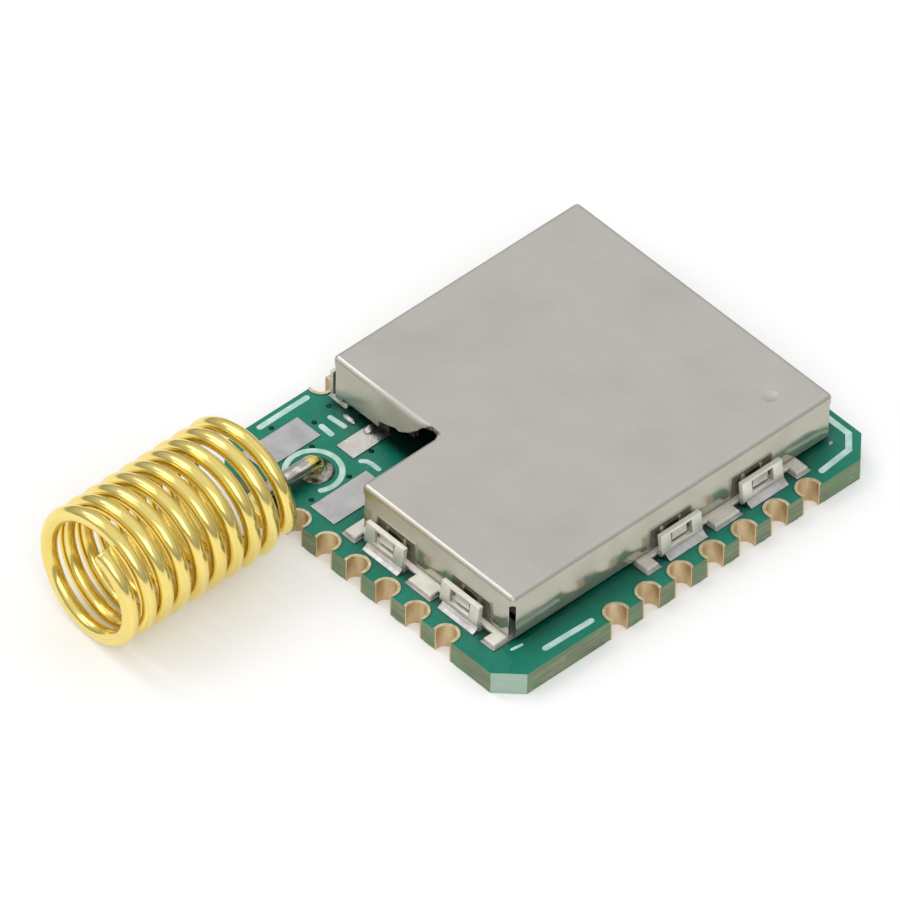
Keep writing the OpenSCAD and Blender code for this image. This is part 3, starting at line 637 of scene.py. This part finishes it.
def spring_clip(node, along, out, slide):
    """Clip in place of a node, given its long axis, the way out from the can and its frames' shift."""
    lo, hi = box_mm(node)
    across = 1 - along
    middle = (lo[along] + hi[along]) / 2
    half = (hi[along] - lo[along]) / 2
    wall = (hi[across] - CLIP_REACH) if out > 0 else (lo[across] + CLIP_REACH)

    def place(u, v, w):
        at = [0.0, 0.0, lo.z + w]
        at[along] = middle + u
        at[across] = wall + out * v
        return at

    def inner(u, v, w):
        return place(u, -WALL_T - v, w)

    bm = bmesh.new()
    end = half - END_TAB
    plan = [(-half, -CLIP_INSIDE), (half, -CLIP_INSIDE), (half, CLIP_REACH), (end, CLIP_REACH)]
    plan += [(end, SPINE), (MID_TAB_HALF, SPINE), (MID_TAB_HALF, CLIP_REACH), (-MID_TAB_HALF, CLIP_REACH)]
    plan += [(-MID_TAB_HALF, SPINE), (-end, SPINE), (-end, CLIP_REACH), (-half, CLIP_REACH)]
    slab(bm, [place(u, v, 0)[:2] for u, v in plan], lo.z, lo.z + CLIP_T, edge=0.02)
    for side in (-FRAME_AT, FRAME_AT):
        spring_frame(bm, place, side + slide, FRAME_L)
    spring_frame(bm, inner, 0.0, INNER_FRAME_L)
    made = add_mesh(node + "_drawn", bm, mats["clip_metal"], smooth=False)
    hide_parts(node)


spring_clip("front_clip", along=0, out=-1, slide=-0.06)
spring_clip("left_clip", along=1, out=-1, slide=0.1)
spring_clip("right_clip", along=1, out=1, slide=0.0)


# Antenna


WIRE_R, WIRE_SIDES, CUT_SOFT = 0.25, 24, 0.04
COIL_TURNS, COIL_PITCH, COIL_R, STEPS_PER_TURN = 9.1806, 0.682, 1.945, 72
COIL_END_X, COIL_Y, COIL_Z = -8.28, VIA.y + 0.1, 2.2
LEAD_Z, LEAD_BEND, DROP_BEND, TIP_Z = 1.25, 0.42, 0.3, 0.05


def coil_path():
    """Centre line of the turns, from the free end to the end beside the board, wound a little unevenly."""
    count = int(COIL_TURNS * STEPS_PER_TURN)
    path = []
    for i in range(count + 1):
        t = COIL_TURNS * (1 - i / count)
        a = 2 * math.pi * t
        sway = 0.02 * math.sin(1.7 * t + 0.6) * min(1.0, t)
        x = COIL_END_X - COIL_PITCH * t + sway
        path.append(Vector((x, COIL_Y - COIL_R * math.cos(a), COIL_Z + COIL_R * math.sin(a))))
    return path


def lead_path():
    """Centre line of the pigtail: down from the coil, along the board and down into the hole."""
    drop = COIL_Z - LEAD_Z
    turn_y = COIL_Y - COIL_R + drop
    bend_x, bend_y = COIL_END_X + LEAD_BEND, VIA.y - LEAD_BEND
    fall_x = VIA.x - DROP_BEND
    path = []
    for p in arc((turn_y, COIL_Z), drop, 180, 270, 24)[1:]:
        path.append(Vector((COIL_END_X, p.x, p.y)))
    path.append(Vector((COIL_END_X, bend_y, LEAD_Z)))
    for p in arc((bend_x, bend_y), LEAD_BEND, 180, 90, 14)[1:]:
        path.append(Vector((p.x, p.y, LEAD_Z)))
    for k in range(1, 9):
        path.append(Vector((bend_x + (fall_x - bend_x) * k / 8, VIA.y, LEAD_Z)))
    for p in arc((fall_x, LEAD_Z - DROP_BEND), DROP_BEND, 90, 0, 12)[1:]:
        path.append(Vector((p.x, VIA.y, p.y)))
    path.append(Vector((VIA.x, VIA.y, TIP_Z)))
    return path


def wire(name, path):
    """Round wire along a path, with lengthwise UVs and slightly rounded cut ends."""
    side = (path[1] - path[0]).normalized().orthogonal().normalized()
    run = 0.0
    stations = []
    for i, p in enumerate(path):
        ahead = path[min(i + 1, len(path) - 1)] - path[max(i - 1, 0)]
        ahead.normalize()
        side = (side - ahead * side.dot(ahead)).normalized()
        if i:
            run += (p - path[i - 1]).length
        stations.append((p, ahead, side.copy(), run, WIRE_R))
    # Each cut end narrows over a short way
    p, ahead, side, run, r = stations[0]
    stations[0] = (p + ahead * CUT_SOFT, ahead, side, run + CUT_SOFT, r)
    stations.insert(0, (p, ahead, side, run, r - CUT_SOFT))
    p, ahead, side, run, r = stations[-1]
    stations[-1] = (p - ahead * CUT_SOFT, ahead, side, run - CUT_SOFT, r)
    stations.append((p, ahead, side, run, r - CUT_SOFT))

    bm = bmesh.new()
    uv = bm.loops.layers.uv.new("UVMap")
    rings = []
    for p, ahead, side, run, r in stations:
        up = ahead.cross(side)
        turns = [2 * math.pi * j / WIRE_SIDES for j in range(WIRE_SIDES)]
        rings.append([bm.verts.new(p + (side * math.cos(a) + up * math.sin(a)) * r) for a in turns])
    for i, (low, high) in enumerate(zip(rings, rings[1:])):
        for j in range(WIRE_SIDES):
            k = (j + 1) % WIRE_SIDES
            face = bm.faces.new((low[j], low[k], high[k], high[j]))
            corners = ((i, j), (i, j + 1), (i + 1, j + 1), (i + 1, j))
            for loop, (row, col) in zip(face.loops, corners):
                loop[uv].uv = (stations[row][3], col / WIRE_SIDES)
    bm.faces.new(rings[0])
    bm.faces.new(rings[-1])
    return add_mesh(name, bm, mats["gold_wire"])


coil = wire("antenna_wire", coil_path() + lead_path())
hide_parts("helical_antenna")


# Stage, light and camera


def floor_material():
    """Pale floor that shows as white and keeps its shadow."""
    s = Shade("floor", (0.86, 0.86, 0.86), 0.8)
    shown = s.add("ShaderNodeLightPath")
    seen = s.calc("MAXIMUM", shown.outputs["Is Camera Ray"], shown.outputs["Is Glossy Ray"])
    seen = s.calc("MAXIMUM", seen, shown.outputs["Is Transmission Ray"])
    s.set("Emission Color", (1.0, 1.0, 1.0))
    s.set("Emission Strength", s.product(seen, 0.16))
    return s.mat


def add_floor():
    """Level sheet a hair below the part."""
    bm = bmesh.new()
    bmesh.ops.create_grid(bm, x_segments=4, y_segments=4, size=3.0)
    mesh = bpy.data.meshes.new("floor")
    bm.to_mesh(mesh)
    bm.free()
    mesh.materials.append(floor_material())
    floor = bpy.data.objects.new("floor", mesh)
    floor.location.z = -0.01 * MM
    bpy.context.scene.collection.objects.link(floor)


def add_world():
    """White surroundings that are darker towards the horizon."""
    world = bpy.data.worlds.new("studio")
    world.use_nodes = True
    bpy.context.scene.world = world
    tree = world.node_tree
    back = tree.nodes["Background"]
    place = tree.nodes.new("ShaderNodeTexCoord")
    part = tree.nodes.new("ShaderNodeSeparateXYZ")
    fade = tree.nodes.new("ShaderNodeMapRange")
    for key, number in (("From Min", 0.03), ("From Max", 0.75), ("To Min", 0.34), ("To Max", 0.88)):
        fade.inputs[key].default_value = number
    back.inputs["Color"].default_value = (1.0, 1.0, 1.0, 1.0)
    tree.links.new(place.outputs["Generated"], part.inputs[0])
    tree.links.new(part.outputs["Z"], fade.inputs["Value"])
    tree.links.new(fade.outputs["Result"], back.inputs["Strength"])


def softbox(name, towards, size, radiance, distance=0.5):
    """Rectangular lamp that faces the part, given by its direction from it and its brightness."""
    data = bpy.data.lights.new(name, "AREA")
    data.shape = "RECTANGLE"
    data.size, data.size_y = size
    data.energy = radiance * math.pi * size[0] * size[1]
    lamp = bpy.data.objects.new(name, data)
    way = Vector(towards).normalized()
    lamp.location = way * distance
    lamp.rotation_mode = "QUATERNION"
    lamp.rotation_quaternion = way.to_track_quat("Z", "Y")
    bpy.context.scene.collection.objects.link(lamp)


# The camera's angles, its distance and its scale at the aim come from a fit to the half-holes in the photo
AZIMUTH, ELEVATION, ROLL = math.radians(43.26), math.radians(44.52), math.radians(0.86)
DISTANCE_MM, PX_PER_MM = 600.0, 34.355
IMAGE_PX, SENSOR = 900.0, 36.0
# This point of the part shows this many pixels right of and below the middle of the image
SHOWN_POINT, RIGHT_PX, DOWN_PX = Vector((0.1, 0.125, 0.0)), 92.4, 15.6


def add_camera():
    """Camera at the photo's viewing angle."""
    level_right = Vector((math.cos(AZIMUTH), -math.sin(AZIMUTH), 0.0))
    ahead = Vector((math.sin(AZIMUTH), math.cos(AZIMUTH), 0.0))
    forward = ahead * math.cos(ELEVATION) - Vector((0.0, 0.0, math.sin(ELEVATION)))
    level_up = level_right.cross(forward)
    right = level_right * math.cos(ROLL) + level_up * math.sin(ROLL)
    up = level_up * math.cos(ROLL) - level_right * math.sin(ROLL)
    aim = SHOWN_POINT - right * (RIGHT_PX / PX_PER_MM) + up * (DOWN_PX / PX_PER_MM)
    data = bpy.data.cameras.new("camera")
    data.sensor_width = SENSOR
    data.lens = PX_PER_MM * DISTANCE_MM * SENSOR / IMAGE_PX
    data.clip_start, data.clip_end = 0.01, 10.0
    camera = bpy.data.objects.new("camera", data)
    bpy.context.scene.collection.objects.link(camera)
    turn = Matrix((right, up, -forward)).transposed().to_4x4()
    camera.matrix_world = Matrix.Translation((aim - forward * DISTANCE_MM) * MM) @ turn
    bpy.context.scene.camera = camera


add_floor()
add_world()
softbox("key", (-0.55, -0.75, 0.75), (0.3, 0.3), 1.8)
softbox("overhead_left", (-0.62, 0.5, 0.72), (0.16, 0.3), 1.3)
softbox("overhead_back", (-0.12, 0.62, 0.85), (0.12, 0.3), 3.0)
add_camera()
bpy.context.scene.view_settings.view_transform = "Standard"
